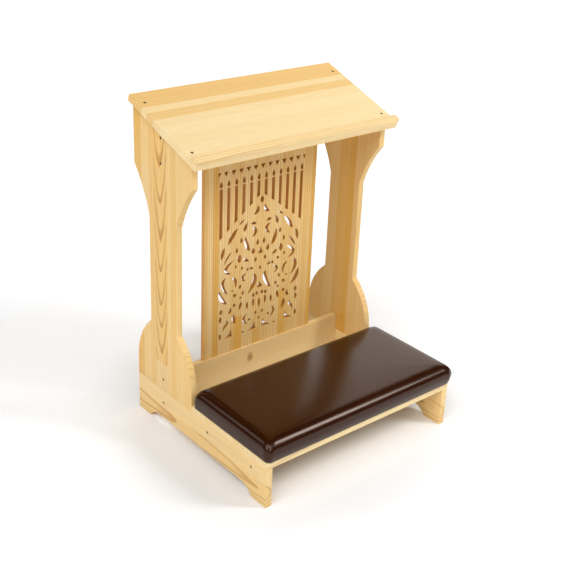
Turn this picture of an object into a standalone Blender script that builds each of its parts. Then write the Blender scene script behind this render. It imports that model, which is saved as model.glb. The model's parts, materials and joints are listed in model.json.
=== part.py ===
"""Prayer bench in edge-glued pine, with a padded kneeling board and a sloping book desk.

Two shaped uprights stand on floor rails and carry the desk. A pierced panel stands between them on
a kick board, and the kneeling board lies across the rails in front of them.
Units are metres, +Z is up and the kneeling side faces -Y. The origin is on the floor, in the middle
of the bench's length and width.
"""

import math

import bmesh
import bpy
from mathutils import Matrix, Vector

# Stock, the gap kept between pieces that touch, and the eased edge of a board
BOARD = 0.018
FIT = 0.0003
ARRIS = 0.0006

# Points of a mesh that lie closer than this are one
WELD = 0.00002

# Floor rails
WIDTH = 0.630
RAIL_LENGTH = 0.5644
RAIL_HEIGHT = 0.110
FOOT_LENGTH = 0.056
ARCH_HEIGHT = 0.024
ARCH_RADIUS = 0.054

# Uprights, with heights that follow each other upwards from the rail
UPRIGHT_WIDTH = 0.252
WAIST_WIDTH = 0.119
EAR_STRAIGHT = 0.050
EAR_CURVE = 0.138
WAIST_LENGTH = 0.295
FLARE_HEIGHT = 0.123
FLARE_HOLLOW = 0.007
HEAD_FRONT_HEIGHT = 0.067

# Desk, with its front and back overhangs measured along its slope from the edges of the uprights
DESK_SLOPE = math.radians(19.6)
DESK_SIDE_OVERHANG = 0.011
DESK_FRONT_OVERHANG = 0.0292
DESK_BACK_OVERHANG = 0.0066
STOP_DEPTH = 0.029
STOP_HEIGHT = 0.013
STOP_OVERHANG = 0.002
STOP_BACK_CHAMFER = 0.010
STOP_END_INSET = 0.001

# Cross boards between the uprights
CROSS_SETBACK = 0.005
KICK_HEIGHT = 0.105
KICK_RISE = 0.049
UPPER_RAIL_HEIGHT = 0.102

# Pierced panel
PANEL_WIDTH = 0.374
PANEL_THICKNESS = 0.014
PANEL_SIDE_MARGIN = 0.043
PANEL_BOTTOM_MARGIN = 0.045
PANEL_TOP_MARGIN = 0.038

# Kneeling board's battens, with their middles measured from the front of the rails
BATTEN_HEIGHT = 0.050
FRONT_BATTEN_SETBACK = 0.0615
REAR_BATTEN_SETBACK = 0.2426

# Cushion, with its overhang past the kneeling board where its sides are fullest
CUSHION_OVERHANG = 0.005
CUSHION_BACK_GAP = 0.005
CUSHION_HEIGHT = 0.053
CUSHION_CROWN = 0.004
CUSHION_DRAW = 0.003
CUSHION_EDGE_RADIUS = 0.021
CUSHION_CORNER_RADIUS = 0.010
COVER_THICKNESS = 0.0012
COVER_HEM = 0.025
PLY = 0.009

# Wood screws, with the places of their heads
SCREW_HEAD_DIAMETER = 0.0074
SCREW_HEAD_HEIGHT = 0.0036
SCREW_HEAD_RIM = 0.0008
SCREW_SHANK_DIAMETER = 0.0040
SCREW_POINT = 0.006
SCREW_RECESS = 0.0010
LONG_SCREW = 0.050
SHORT_SCREW = 0.0245
SCREW_SIDES = 10
KICK_SCREW_INSET = 0.0165
UPPER_SCREW_INSET = 0.019
DESK_SCREW_FRONT_INSET = 0.018
DESK_SCREW_BACK_INSET = 0.037
KNEELER_SCREW_END_INSET = 0.027
CUSHION_SCREW_SIDE_INSET = 0.110
STOP_SCREW_SIDE_INSET = 0.068
STOP_SCREW_COUNT = 4

# Dowels
SIDE_DOWEL_DIAMETER = 0.008
SIDE_DOWEL_LENGTH = 0.040
SIDE_DOWEL_INSET = 0.036
PANEL_DOWEL_DIAMETER = 0.006
PANEL_DOWEL_LENGTH = 0.030
PANEL_DOWEL_INSET = 0.050
PANEL_DOWEL_COUNT = 3
DOWEL_SIDES = 8

# Facets on curved outlines, and on the cushion's bent faces
FLARE_FACETS = 10
EAR_FACETS = 14
ARCH_FACETS = 8
CUSHION_FACETS_ACROSS = 10
CUSHION_FACETS_ALONG = 6
CUSHION_FACETS_UP = 3

# Heights and places that follow from the sizes above
SIDE_X = WIDTH / 2 - BOARD / 2
INNER_WIDTH = WIDTH - 2 * BOARD - 2 * FIT
BENCH_DEPTH = CUSHION_OVERHANG + RAIL_LENGTH + DESK_BACK_OVERHANG * math.cos(DESK_SLOPE)
RAIL_FRONT = CUSHION_OVERHANG - BENCH_DEPTH / 2
RAIL_BACK = RAIL_FRONT + RAIL_LENGTH
UPRIGHT_FRONT = RAIL_BACK - UPRIGHT_WIDTH
UPRIGHT_MIDDLE = RAIL_BACK - UPRIGHT_WIDTH / 2
UPRIGHT_BOTTOM = RAIL_HEIGHT + FIT
EAR_TOP = UPRIGHT_BOTTOM + EAR_STRAIGHT + EAR_CURVE
FLARE_BOTTOM = EAR_TOP + WAIST_LENGTH
FLARE_TOP = FLARE_BOTTOM + FLARE_HEIGHT
HEAD_FRONT = FLARE_TOP + HEAD_FRONT_HEIGHT
HEAD_SLOPE_LENGTH = UPRIGHT_WIDTH / math.cos(DESK_SLOPE)
DESK_LENGTH = DESK_FRONT_OVERHANG + HEAD_SLOPE_LENGTH + DESK_BACK_OVERHANG
DESK_WIDTH = WIDTH + 2 * DESK_SIDE_OVERHANG
STOP_WIDTH = DESK_WIDTH - 2 * STOP_END_INSET

CROSS_MIDDLE = UPRIGHT_MIDDLE + CROSS_SETBACK
CROSS_BACK = CROSS_MIDDLE + BOARD / 2
KICK_TOP = RAIL_HEIGHT + KICK_RISE
KICK_BOTTOM = KICK_TOP - KICK_HEIGHT


def head_height(y):
    """Height of the sloping top of the uprights at the depth y."""
    return HEAD_FRONT + (y - UPRIGHT_FRONT) * math.tan(DESK_SLOPE)


UPPER_RAIL_TOP = head_height(CROSS_MIDDLE)
UPPER_RAIL_BOTTOM = UPPER_RAIL_TOP - UPPER_RAIL_HEIGHT
PANEL_BOTTOM = KICK_TOP + FIT
PANEL_HEIGHT = UPPER_RAIL_BOTTOM - FIT - PANEL_BOTTOM
PANEL_MIDDLE = CROSS_BACK - PANEL_THICKNESS / 2

KNEELER_BOTTOM = RAIL_HEIGHT + FIT
KNEELER_TOP = KNEELER_BOTTOM + BOARD
KNEELER_DEPTH = UPRIGHT_FRONT - FIT - RAIL_FRONT
KNEELER_MIDDLE = RAIL_FRONT + KNEELER_DEPTH / 2
FRONT_BATTEN_Y = RAIL_FRONT + FRONT_BATTEN_SETBACK
REAR_BATTEN_Y = RAIL_FRONT + REAR_BATTEN_SETBACK
BATTEN_MIDDLE = RAIL_HEIGHT - BATTEN_HEIGHT / 2

CUSHION_BOTTOM = KNEELER_TOP + FIT
CUSHION_LENGTH = WIDTH + 2 * CUSHION_OVERHANG
CUSHION_DEPTH = KNEELER_DEPTH + CUSHION_OVERHANG - CUSHION_BACK_GAP
CUSHION_Y = RAIL_FRONT - CUSHION_OVERHANG + CUSHION_DEPTH / 2

# Turns that stand a flat outline up: side boards face X, the panel faces Y
FACING_X = (math.pi / 2, 0, math.pi / 2)
FACING_Y = (math.pi / 2, 0, 0)


def empty_scene():
    for obj in list(bpy.data.objects):
        bpy.data.objects.remove(obj, do_unlink=True)


def new_collection(name):
    collection = bpy.data.collections.new(name)
    bpy.context.scene.collection.children.link(collection)
    return collection


empty_scene()
PIECES = new_collection("prayer_bench")
CUTTERS = new_collection("prayer_bench_cutters")


def new_empty(name, location, rotation=(0, 0, 0)):
    empty = bpy.data.objects.new(name, None)
    empty.location = location
    empty.rotation_euler = rotation
    PIECES.objects.link(empty)
    return empty


BENCH = new_empty("bench", (0, 0, 0))
DESK = new_empty("desk_slope", (0, UPRIGHT_FRONT, HEAD_FRONT), (DESK_SLOPE, 0, 0))
DESK.parent = BENCH


def finish(obj, colour, roughness, metallic=0.0):
    """Gives a piece its own plain material."""
    material = bpy.data.materials.new(obj.name + "_finish")
    material.use_nodes = True
    shader = material.node_tree.nodes["Principled BSDF"]
    shader.inputs["Base Color"].default_value = (*colour, 1.0)
    shader.inputs["Roughness"].default_value = roughness
    shader.inputs["Metallic"].default_value = metallic
    obj.data.materials.clear()
    obj.data.materials.append(material)


def pine(obj, shade=1.0):
    finish(obj, (0.82 * shade, 0.58 * shade, 0.30 * shade), 0.48)


def beech(obj):
    finish(obj, (0.62, 0.42, 0.24), 0.6)


def steel(obj):
    finish(obj, (0.45, 0.43, 0.40), 0.35, 1.0)


def place(name, mesh, location=(0, 0, 0), rotation=(0, 0, 0), parent=BENCH, collection=PIECES):
    obj = bpy.data.objects.new(name, mesh)
    obj.location = location
    obj.rotation_euler = rotation
    obj.parent = parent
    collection.objects.link(obj)
    return obj


def ease_edges(obj):
    """Takes the sharpness off a board's edges."""
    bevel = obj.modifiers.new("eased_edges", "BEVEL")
    bevel.width = ARRIS
    bevel.segments = 1
    bevel.limit_method = "ANGLE"
    bevel.angle_limit = math.radians(40)


def cut(obj, *cutters):
    for cutter in cutters:
        boolean = obj.modifiers.new("cut_" + cutter.name, "BOOLEAN")
        boolean.operation = "DIFFERENCE"
        boolean.object = cutter


def plain_board(name, size, location, parent=BENCH):
    """A straight board, from a cube at its real size."""
    bpy.ops.mesh.primitive_cube_add(size=1)
    obj = bpy.context.object
    obj.data.transform(Matrix.Diagonal((*size, 1)))
    mesh = obj.data
    bpy.data.objects.remove(obj)
    board = place(name, mesh, location, parent=parent)
    ease_edges(board)
    return board


def shaped_board(name, outlines, thickness, location, rotation, parent=BENCH):
    """A board sawn to its first outline, pierced by the others, in the plane that rotation gives."""
    curve = bpy.data.curves.new(name, "CURVE")
    curve.dimensions = "2D"
    curve.fill_mode = "BOTH"
    curve.extrude = thickness / 2
    for outline in outlines:
        spline = curve.splines.new("POLY")
        spline.points.add(len(outline) - 1)
        for point, (across, up) in zip(spline.points, outline):
            point.co = (across, up, 0, 1)
        spline.use_cyclic_u = True
    flat = bpy.data.objects.new(name, curve)
    PIECES.objects.link(flat)
    evaluated = flat.evaluated_get(bpy.context.evaluated_depsgraph_get())
    mesh = bpy.data.meshes.new_from_object(evaluated)
    bpy.data.objects.remove(flat)
    solid = bmesh.new()
    solid.from_mesh(mesh)
    bmesh.ops.remove_doubles(solid, verts=solid.verts, dist=WELD)
    even_out_fill(solid)
    bmesh.ops.recalc_face_normals(solid, faces=solid.faces)
    solid.to_mesh(mesh)
    solid.free()
    return place(name, mesh, location, rotation, parent)


def even_out_fill(solid):
    """Turns the triangles of a flat filling so that none is left as thin as a line."""
    flat = [face for face in solid.faces if len({vert.co.z > 0 for vert in face.verts}) == 1]
    filling = set(flat)
    inner = [edge for edge in solid.edges if filling.issuperset(edge.link_faces)]
    bmesh.ops.beautify_fill(solid, faces=flat, edges=inner)


def turned_mesh(profile, sides):
    """A turned solid about Z from a profile of (radius, height) that runs from top to bottom."""
    mesh = bpy.data.meshes.new("profile")
    edges = [(index, index + 1) for index in range(len(profile) - 1)]
    mesh.from_pydata([(radius, 0, height) for radius, height in profile], edges, [])
    obj = bpy.data.objects.new("profile", mesh)
    PIECES.objects.link(obj)
    screw = obj.modifiers.new("turn", "SCREW")
    screw.steps = sides
    screw.render_steps = sides
    screw.use_merge_vertices = True
    screw.merge_threshold = WELD
    evaluated = obj.evaluated_get(bpy.context.evaluated_depsgraph_get())
    turned = bpy.data.meshes.new_from_object(evaluated)
    bpy.data.objects.remove(obj)
    return turned


def outward(axis):
    """Rotation that points Z along an outward direction."""
    return Vector(axis).to_track_quat("Z", "Y").to_euler()


def holes_for(name, mesh, places, parent=BENCH):
    """One cutter with a copy of a turned hole at each (point, outward direction)."""
    group = bmesh.new()
    for point, axis in places:
        first = len(group.verts)
        group.from_mesh(mesh)
        group.verts.ensure_lookup_table()
        matrix = Matrix.Translation(point) @ outward(axis).to_matrix().to_4x4()
        bmesh.ops.transform(group, matrix=matrix, verts=group.verts[first:])
    bmesh.ops.recalc_face_normals(group, faces=group.faces)
    joined = bpy.data.meshes.new(name)
    group.to_mesh(joined)
    group.free()
    cutter = place(name, joined, parent=parent, collection=CUTTERS)
    cutter.hide_render = True
    cutter.display_type = "WIRE"
    return cutter


def turned_pieces(name, mesh, places, surface, parent=BENCH):
    """A numbered copy of a turned piece at each (point, outward direction)."""
    for number, (point, axis) in enumerate(places, start=1):
        surface(place(f"{name}_{number}", mesh, point, outward(axis), parent))


def screw_profile(length, grow=0.0, mouth=0.0):
    """A countersunk wood screw with the top of its head at zero, or its hole when it grows."""
    head = SCREW_HEAD_DIAMETER / 2 + grow
    shank = SCREW_SHANK_DIAMETER / 2 + grow
    return [
        (0, mouth),
        (head, mouth),
        (head, -SCREW_HEAD_RIM - grow),
        (shank, -SCREW_HEAD_HEIGHT - grow),
        (shank, -length + SCREW_POINT - grow),
        (0, -length - grow),
    ]


def screws(name, length, places, boards, parent=BENCH):
    """Screws sunk in the surface at the given points, and their holes in the boards."""
    sunk = [(Vector(point) - Vector(axis) * SCREW_RECESS, axis) for point, axis in places]
    turned_pieces(name, turned_mesh(screw_profile(length), SCREW_SIDES), sunk, steel, parent)
    hole = turned_mesh(screw_profile(length, FIT, 2 * SCREW_RECESS), SCREW_SIDES)
    holes = holes_for(name + "_holes", hole, sunk, parent)
    for board in boards:
        cut(board, holes)


def dowel_profile(diameter, length, grow=0.0):
    radius = diameter / 2 + grow
    half = length / 2 + grow
    return [(0, half), (radius, half), (radius, -half), (0, -half)]


def dowels(name, diameter, length, middles, boards):
    """Upright dowels, and their holes in the boards that they join."""
    places = [(middle, (0, 0, 1)) for middle in middles]
    turned_pieces(name, turned_mesh(dowel_profile(diameter, length), DOWEL_SIDES), places, beech)
    hole = turned_mesh(dowel_profile(diameter, length, FIT), DOWEL_SIDES)
    holes = holes_for(name + "_holes", hole, places)
    for board in boards:
        cut(board, holes)


def spread(first, last, count):
    return [first + (last - first) * index / (count - 1) for index in range(count)]


# Floor rails


def rail_outline():
    """Side of a floor rail, with its feet and the low arch between them."""
    run = math.sqrt(ARCH_RADIUS ** 2 - (ARCH_RADIUS - ARCH_HEIGHT) ** 2)
    start = math.acos((ARCH_RADIUS - ARCH_HEIGHT) / ARCH_RADIUS)
    front_foot = RAIL_FRONT + FOOT_LENGTH
    back_foot = RAIL_BACK - FOOT_LENGTH
    angles = spread(start, 0, ARCH_FACETS + 1)
    rise = [(run - ARCH_RADIUS * math.sin(angle), ARCH_HEIGHT - ARCH_RADIUS * (1 - math.cos(angle)))
            for angle in angles]
    front_arch = [(front_foot + along, up) for along, up in rise]
    back_arch = [(back_foot - along, up) for along, up in reversed(rise)]
    ends = [(RAIL_BACK, 0), (RAIL_BACK, RAIL_HEIGHT), (RAIL_FRONT, RAIL_HEIGHT), (RAIL_FRONT, 0)]
    return front_arch + back_arch + ends


def base_rail(name, x):
    rail = shaped_board(name, [rail_outline()], BOARD, (x, 0, 0), FACING_X)
    ease_edges(rail)
    pine(rail)
    return rail


left_base_rail = base_rail("left_base_rail", -SIDE_X)
right_base_rail = base_rail("right_base_rail", SIDE_X)
RAILS = [left_base_rail, right_base_rail]

# Uprights


def arc_between(start, end, sagitta, facets):
    """Points on an arc from start to end that bows to the left of the way by the sagitta."""
    start, end = Vector(start), Vector(end)
    chord = end - start
    radius = (chord.length ** 2 / 4 + sagitta ** 2) / (2 * abs(sagitta))
    half_angle = math.asin(chord.length / (2 * radius))
    along = chord.normalized()
    left = Vector((-along.y, along.x)) * math.copysign(1, sagitta)
    centre = (start + end) / 2 - left * (radius - abs(sagitta))
    angles = spread(-half_angle, half_angle, facets + 1)
    return [tuple(centre + radius * (along * math.sin(angle) + left * math.cos(angle)))
            for angle in angles]


def upright_edge():
    """One long edge of an upright from its foot to its head, as (distance from middle, height)."""
    broad = UPRIGHT_WIDTH / 2
    narrow = WAIST_WIDTH / 2
    step = broad - narrow
    radius = (EAR_CURVE ** 2 + step ** 2) / (2 * step)
    ear = [(broad - radius + radius * math.cos(angle), EAR_TOP - EAR_CURVE + radius * math.sin(angle))
           for angle in spread(0, math.asin(EAR_CURVE / radius), EAR_FACETS + 1)]
    flare = arc_between((narrow, FLARE_BOTTOM), (broad, FLARE_TOP), FLARE_HOLLOW, FLARE_FACETS)
    return [(broad, UPRIGHT_BOTTOM)] + ear + flare


def upright_outline():
    edge = upright_edge()
    front = [(UPRIGHT_MIDDLE - out, up) for out, up in edge]
    back = [(UPRIGHT_MIDDLE + out, up) for out, up in edge]
    head = [(UPRIGHT_FRONT, head_height(UPRIGHT_FRONT)), (RAIL_BACK, head_height(RAIL_BACK))]
    return front + head + back[::-1]


def upright(name, x):
    side = shaped_board(name, [upright_outline()], BOARD, (x, 0, 0), FACING_X)
    ease_edges(side)
    pine(side)
    return side


left_upright = upright("left_upright", -SIDE_X)
right_upright = upright("right_upright", SIDE_X)
UPRIGHTS = [left_upright, right_upright]

dowels(
    "upright_dowel", SIDE_DOWEL_DIAMETER, SIDE_DOWEL_LENGTH,
    [(x, y, RAIL_HEIGHT) for x in (-SIDE_X, SIDE_X)
     for y in (UPRIGHT_FRONT + SIDE_DOWEL_INSET, RAIL_BACK - SIDE_DOWEL_INSET)],
    RAILS + UPRIGHTS,
)

# Kick board and upper cross rail

kick_board = plain_board(
    "kick_board", (INNER_WIDTH, BOARD, KICK_HEIGHT), (0, CROSS_MIDDLE, (KICK_TOP + KICK_BOTTOM) / 2))
pine(kick_board, 0.97)


def upper_rail_outline():
    """End of the upper rail, planed to the desk's slope on top."""
    front, back = CROSS_MIDDLE - BOARD / 2, CROSS_BACK
    return [
        (front, UPPER_RAIL_BOTTOM),
        (back, UPPER_RAIL_BOTTOM),
        (back, head_height(back)),
        (front, head_height(front)),
    ]


upper_cross_rail = shaped_board(
    "upper_cross_rail", [upper_rail_outline()], INNER_WIDTH, (0, 0, 0), FACING_X)
ease_edges(upper_cross_rail)
pine(upper_cross_rail, 0.95)

SIDE_FACES = [(-WIDTH / 2, (-1, 0, 0)), (WIDTH / 2, (1, 0, 0))]


def through_sides(y, *heights):
    """Screw places on the outer faces of both sides."""
    return [((x, y, z), axis) for x, axis in SIDE_FACES for z in heights]


screws(
    "kick_board_screw", LONG_SCREW,
    through_sides(CROSS_MIDDLE, KICK_BOTTOM + KICK_SCREW_INSET, KICK_TOP - KICK_SCREW_INSET),
    RAILS + UPRIGHTS + [kick_board],
)
screws(
    "upper_rail_screw", LONG_SCREW,
    through_sides(CROSS_MIDDLE, UPPER_RAIL_BOTTOM + UPPER_SCREW_INSET, UPPER_RAIL_TOP - UPPER_SCREW_INSET),
    UPRIGHTS + [upper_cross_rail],
)

# Pierced panel. Its ornament is drawn in millimetres from the middle of its lower edge, on a field
# of this size, which is stretched to what the panel's margins leave.

DRAWN_WIDTH = 288.0
DRAWN_HEIGHT = 486.0
LEAF_ROUNDNESS = 0.7

# The frieze: triangles over drops over slots, whose lower ends follow a gable
TRIANGLES = 13
TRIANGLE_PITCH = 24.0
TRIANGLE_WIDTH = 15.0
TRIANGLE_TIP = 473.5
SLOTS = 12
SLOT_PITCH = 24.6
SLOT_WIDTH = 9.5
SLOT_TOP = 441.0
SLOT_HEAD_BOTTOM = 444.0
SLOT_HEAD_TOP = 463.0
GABLE_TOP = 406.5
GABLE_FALL = 0.77

# The arch: cuts on its right half, each a width, where it is fullest and the points it runs through
MIDWAY, LATE, EARLY = 1.0, 1.5, 0.7
BORDER_CUTS = [
    (5.0, MIDWAY, (58, 341), (74, 328.5)),
    (13.0, MIDWAY, (80, 320), (97, 300), (111, 279)),
    (10.5, MIDWAY, (122, 274), (128, 258), (131, 240)),
    (5.5, MIDWAY, (99, 257), (112, 242), (123, 224)),
    (10.0, MIDWAY, (91, 230), (118, 208), (99, 192)),
    (11.0, MIDWAY, (116, 185), (127, 164), (110, 135)),
    (13.0, MIDWAY, (138, 151), (131, 126), (111, 105)),
    (10.0, MIDWAY, (131, 94), (132, 77)),
    (9.0, MIDWAY, (133, 73), (133, 52)),
    (8.0, MIDWAY, (134, 20), (133.5, 1)),
]
UPPER_CUTS = [
    (11.0, MIDWAY, (13.5, 371), (13.5, 357), (27, 348)),
    (10.0, LATE, (46, 331), (53, 319), (57, 305)),
    (8.5, MIDWAY, (18, 319.5), (26, 323.5), (35, 323)),
    (10.0, MIDWAY, (31, 312), (18, 299), (30, 282)),
    (7.0, LATE, (66, 291.5), (67, 275)),
    (13.0, LATE, (52, 292), (50, 270), (37, 245)),
    (9.0, LATE, (11, 275), (11, 256)),
    (11.0, LATE, (25.5, 251), (25, 232)),
    (7.0, MIDWAY, (81, 264), (81.5, 248)),
    (13.0, MIDWAY, (69, 242), (72, 230), (70, 218)),
    (10.0, MIDWAY, (57, 227), (50, 221), (41, 216)),
    (6.0, MIDWAY, (83.5, 215), (84, 204)),
    (8.0, MIDWAY, (16, 221), (17, 207)),
    (7.0, MIDWAY, (60, 205), (65, 196)),
]
MIDDLE_CUTS = [
    (8.0, EARLY, (35, 193), (24, 189)),
    (7.0, MIDWAY, (42.5, 196.5), (43.5, 185.5)),
    (8.0, MIDWAY, (47, 182), (60, 170), (50, 158)),
    (15.0, MIDWAY, (20, 173), (19, 148), (40, 116)),
    (8.0, EARLY, (95, 180), (83, 166), (84.5, 147)),
    (7.0, MIDWAY, (67, 152), (69, 139)),
    (5.0, MIDWAY, (92, 142), (97, 138.5)),
    (7.0, MIDWAY, (56, 131), (59, 118)),
    (10.0, LATE, (82, 130), (88, 119)),
    (6.0, MIDWAY, (62, 113), (69, 110)),
    (8.0, MIDWAY, (20.5, 113), (21.5, 101)),
    (8.0, MIDWAY, (9, 116), (10, 104)),
]
LOWER_CUTS = [
    (7.5, EARLY, (20.5, 97), (21.5, 71)),
    (8.0, MIDWAY, (41.5, 92), (42, 70)),
    (9.0, MIDWAY, (62, 99), (65, 88), (69, 74)),
    (9.0, MIDWAY, (85, 100), (88, 89)),
    (8.5, LATE, (101.5, 93), (99.5, 81), (107, 73)),
    (13.0, MIDWAY, (88, 67), (88, 52), (81, 37)),
    (8.0, MIDWAY, (113, 56), (109, 45), (117, 39), (123.5, 22)),
    (8.0, MIDWAY, (43, 56), (53, 40), (39, 23)),
    (8.0, MIDWAY, (12.5, 55.5), (11, 45)),
    (8.0, MIDWAY, (33, 39), (34, 31)),
]
# Cuts on the middle line, spades as (tip, lobe height, foot, width) and flat-based wings
CENTRE_CUTS = [
    (12.0, MIDWAY, (0, 397), (0, 376)),
    (7.0, LATE, (0, 193), (0, 181)),
    (9.0, EARLY, (0, 92), (0, 66)),
    (7.5, MIDWAY, (0, 36.5), (0, 27.5)),
]
SPADES = [(249, 235, 229, 17), (144, 132, 126, 19)]
WINGS = [(11, 43, (16, 26)), (49, 62, (57, 7)), (92, 122, (97, 26))]


def bow(points, share):
    """Point at a share of the way along the smooth curve through evenly spaced points."""
    last = len(points) - 1
    total = Vector((0, 0))
    for index, point in enumerate(points):
        weight = 1.0
        for other in range(len(points)):
            if other != index:
                weight *= (share * last - other) / (index - other)
        total += weight * Vector(point)
    return total


def leaf_cut(width, fullest, *points):
    """A tapering cut along a curve, pointed at both ends and fullest where asked."""
    length = (Vector(points[-1]) - Vector(points[0])).length
    stations = 4 if length < 1.6 * width + 4 else 6
    left, right = [], []
    for station in range(1, stations):
        share = (1 - math.cos(math.pi * station / stations)) / 2
        centre = bow(points, share)
        along = (bow(points, share + 0.01) - bow(points, share - 0.01)).normalized()
        across = Vector((-along.y, along.x))
        half = width / 2 * math.sin(math.pi * share ** fullest) ** LEAF_ROUNDNESS
        left.append(tuple(centre + across * half))
        right.append(tuple(centre - across * half))
    return [points[0]] + left + [points[-1]] + right[::-1]


def spade_cut(tip, lobe, foot, width):
    half = [(0, tip), (0.45 * width / 2, (tip + 2 * lobe) / 3), (width / 2, lobe), (0.7 * width / 2, foot)]
    return half + [(-across, up) for across, up in half[:0:-1]]


def wing_cut(inner, outer, top):
    """A cut with a flat base and a hollow slope down to its outer tip."""
    slope = [bow([top, ((top[0] * 3 + outer) / 4, top[1] * 0.42), (outer, 0)], share)
             for share in (0.33, 0.67)]
    return [(inner, 0), top] + [tuple(point) for point in slope] + [(outer, 0)]


def mirrored(outline):
    return [(-across, up) for across, up in outline[::-1]]


def frieze_cuts():
    """Triangles, drops and slots across the top of the panel."""
    cuts = []
    last = (TRIANGLES - 1) // 2
    for index in range(-last, last + 1):
        middle = index * TRIANGLE_PITCH
        corners = [(middle - TRIANGLE_WIDTH / 2, DRAWN_HEIGHT), (middle, TRIANGLE_TIP),
                   (middle + TRIANGLE_WIDTH / 2, DRAWN_HEIGHT)]
        if abs(index) == last:
            inner = corners[0] if index > 0 else corners[2]
            corners = [inner, (middle, TRIANGLE_TIP), (middle, DRAWN_HEIGHT)]
        cuts.append(corners)
    for index in range(SLOTS):
        middle = (index - (SLOTS - 1) / 2) * SLOT_PITCH
        left, right = middle - SLOT_WIDTH / 2, middle + SLOT_WIDTH / 2
        cuts.append(leaf_cut(SLOT_WIDTH, LATE, (middle, SLOT_HEAD_TOP), (middle, SLOT_HEAD_BOTTOM)))
        cuts.append([(left, SLOT_TOP), (left, GABLE_TOP - GABLE_FALL * abs(left)),
                     (right, GABLE_TOP - GABLE_FALL * abs(right)), (right, SLOT_TOP)])
    return cuts


def arch_cuts():
    """The leaves, drops and scrolls inside the pointed arch."""
    right_half = [leaf_cut(*row) for row in BORDER_CUTS + UPPER_CUTS + MIDDLE_CUTS + LOWER_CUTS]
    right_half += [wing_cut(*row) for row in WINGS]
    on_middle = [leaf_cut(*row) for row in CENTRE_CUTS] + [spade_cut(*row) for row in SPADES]
    return right_half + [mirrored(outline) for outline in right_half] + on_middle


def panel_outlines():
    wide = (PANEL_WIDTH - 2 * PANEL_SIDE_MARGIN) / DRAWN_WIDTH
    high = (PANEL_HEIGHT - PANEL_BOTTOM_MARGIN - PANEL_TOP_MARGIN) / DRAWN_HEIGHT
    half = PANEL_WIDTH / 2
    board = [(-half, 0), (half, 0), (half, PANEL_HEIGHT), (-half, PANEL_HEIGHT)]
    cuts = [[(across * wide, PANEL_BOTTOM_MARGIN + up * high) for across, up in outline]
            for outline in frieze_cuts() + arch_cuts()]
    return [board] + cuts


fretwork_panel = shaped_board(
    "fretwork_panel", panel_outlines(), PANEL_THICKNESS, (0, PANEL_MIDDLE, PANEL_BOTTOM), FACING_Y)
pine(fretwork_panel, 0.95)

PANEL_DOWELS_X = spread(PANEL_DOWEL_INSET - PANEL_WIDTH / 2, PANEL_WIDTH / 2 - PANEL_DOWEL_INSET,
                        PANEL_DOWEL_COUNT)
dowels(
    "panel_bottom_dowel", PANEL_DOWEL_DIAMETER, PANEL_DOWEL_LENGTH,
    [(x, PANEL_MIDDLE, KICK_TOP) for x in PANEL_DOWELS_X], [kick_board, fretwork_panel],
)
dowels(
    "panel_top_dowel", PANEL_DOWEL_DIAMETER, PANEL_DOWEL_LENGTH,
    [(x, PANEL_MIDDLE, UPPER_RAIL_BOTTOM) for x in PANEL_DOWELS_X], [upper_cross_rail, fretwork_panel],
)

# Desk, modelled flat in the sloping frame that starts at the front of the uprights

desk_board = plain_board(
    "desk_board", (DESK_WIDTH, DESK_LENGTH, BOARD),
    (0, DESK_LENGTH / 2 - DESK_FRONT_OVERHANG, FIT + BOARD / 2), DESK)
pine(desk_board, 1.08)

STOP_FRONT = -DESK_FRONT_OVERHANG - STOP_OVERHANG
STOP_BOTTOM = BOARD + 2 * FIT


def book_stop_outline():
    """End of the book stop, bevelled on the side where the book lies."""
    back = STOP_FRONT + STOP_DEPTH
    top = STOP_BOTTOM + STOP_HEIGHT
    return [
        (STOP_FRONT, STOP_BOTTOM),
        (back, STOP_BOTTOM),
        (back, top - STOP_BACK_CHAMFER),
        (back - STOP_BACK_CHAMFER, top),
        (STOP_FRONT, top),
    ]


book_stop = shaped_board(
    "book_stop", [book_stop_outline()], STOP_WIDTH, (0, 0, 0), FACING_X, DESK)
ease_edges(book_stop)
pine(book_stop, 1.04)

DESK_SCREWS_Y = (DESK_SCREW_FRONT_INSET, HEAD_SLOPE_LENGTH - DESK_SCREW_BACK_INSET)
screws(
    "desk_screw", LONG_SCREW,
    [((x, y, FIT + BOARD), (0, 0, 1)) for x in (-SIDE_X, SIDE_X) for y in DESK_SCREWS_Y],
    [desk_board] + UPRIGHTS, DESK,
)
STOP_SCREWS_X = spread(STOP_SCREW_SIDE_INSET - STOP_WIDTH / 2, STOP_WIDTH / 2 - STOP_SCREW_SIDE_INSET,
                       STOP_SCREW_COUNT)
screws(
    "book_stop_screw", SHORT_SCREW,
    [((x, -DESK_FRONT_OVERHANG / 2, FIT), (0, 0, -1)) for x in STOP_SCREWS_X],
    [desk_board, book_stop], DESK,
)

# Kneeling board and its battens

kneeler_board = plain_board(
    "kneeler_board", (WIDTH, KNEELER_DEPTH, BOARD), (0, KNEELER_MIDDLE, KNEELER_BOTTOM + BOARD / 2))
pine(kneeler_board, 1.05)


def batten(name, y):
    bar = plain_board(name, (INNER_WIDTH, BOARD, BATTEN_HEIGHT), (0, y, BATTEN_MIDDLE))
    pine(bar, 0.93)
    return bar


front_batten = batten("front_batten", FRONT_BATTEN_Y)
rear_batten = batten("rear_batten", REAR_BATTEN_Y)

screws(
    "batten_screw", LONG_SCREW,
    through_sides(FRONT_BATTEN_Y, BATTEN_MIDDLE) + through_sides(REAR_BATTEN_Y, BATTEN_MIDDLE),
    RAILS + [front_batten, rear_batten],
)
KNEELER_SCREWS_Y = (
    RAIL_FRONT + KNEELER_SCREW_END_INSET,
    RAIL_FRONT + KNEELER_DEPTH - KNEELER_SCREW_END_INSET,
)
screws(
    "kneeler_board_screw", LONG_SCREW,
    [((x, y, KNEELER_TOP), (0, 0, 1)) for x in (-SIDE_X, SIDE_X) for y in KNEELER_SCREWS_Y],
    [kneeler_board] + RAILS,
)

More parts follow.
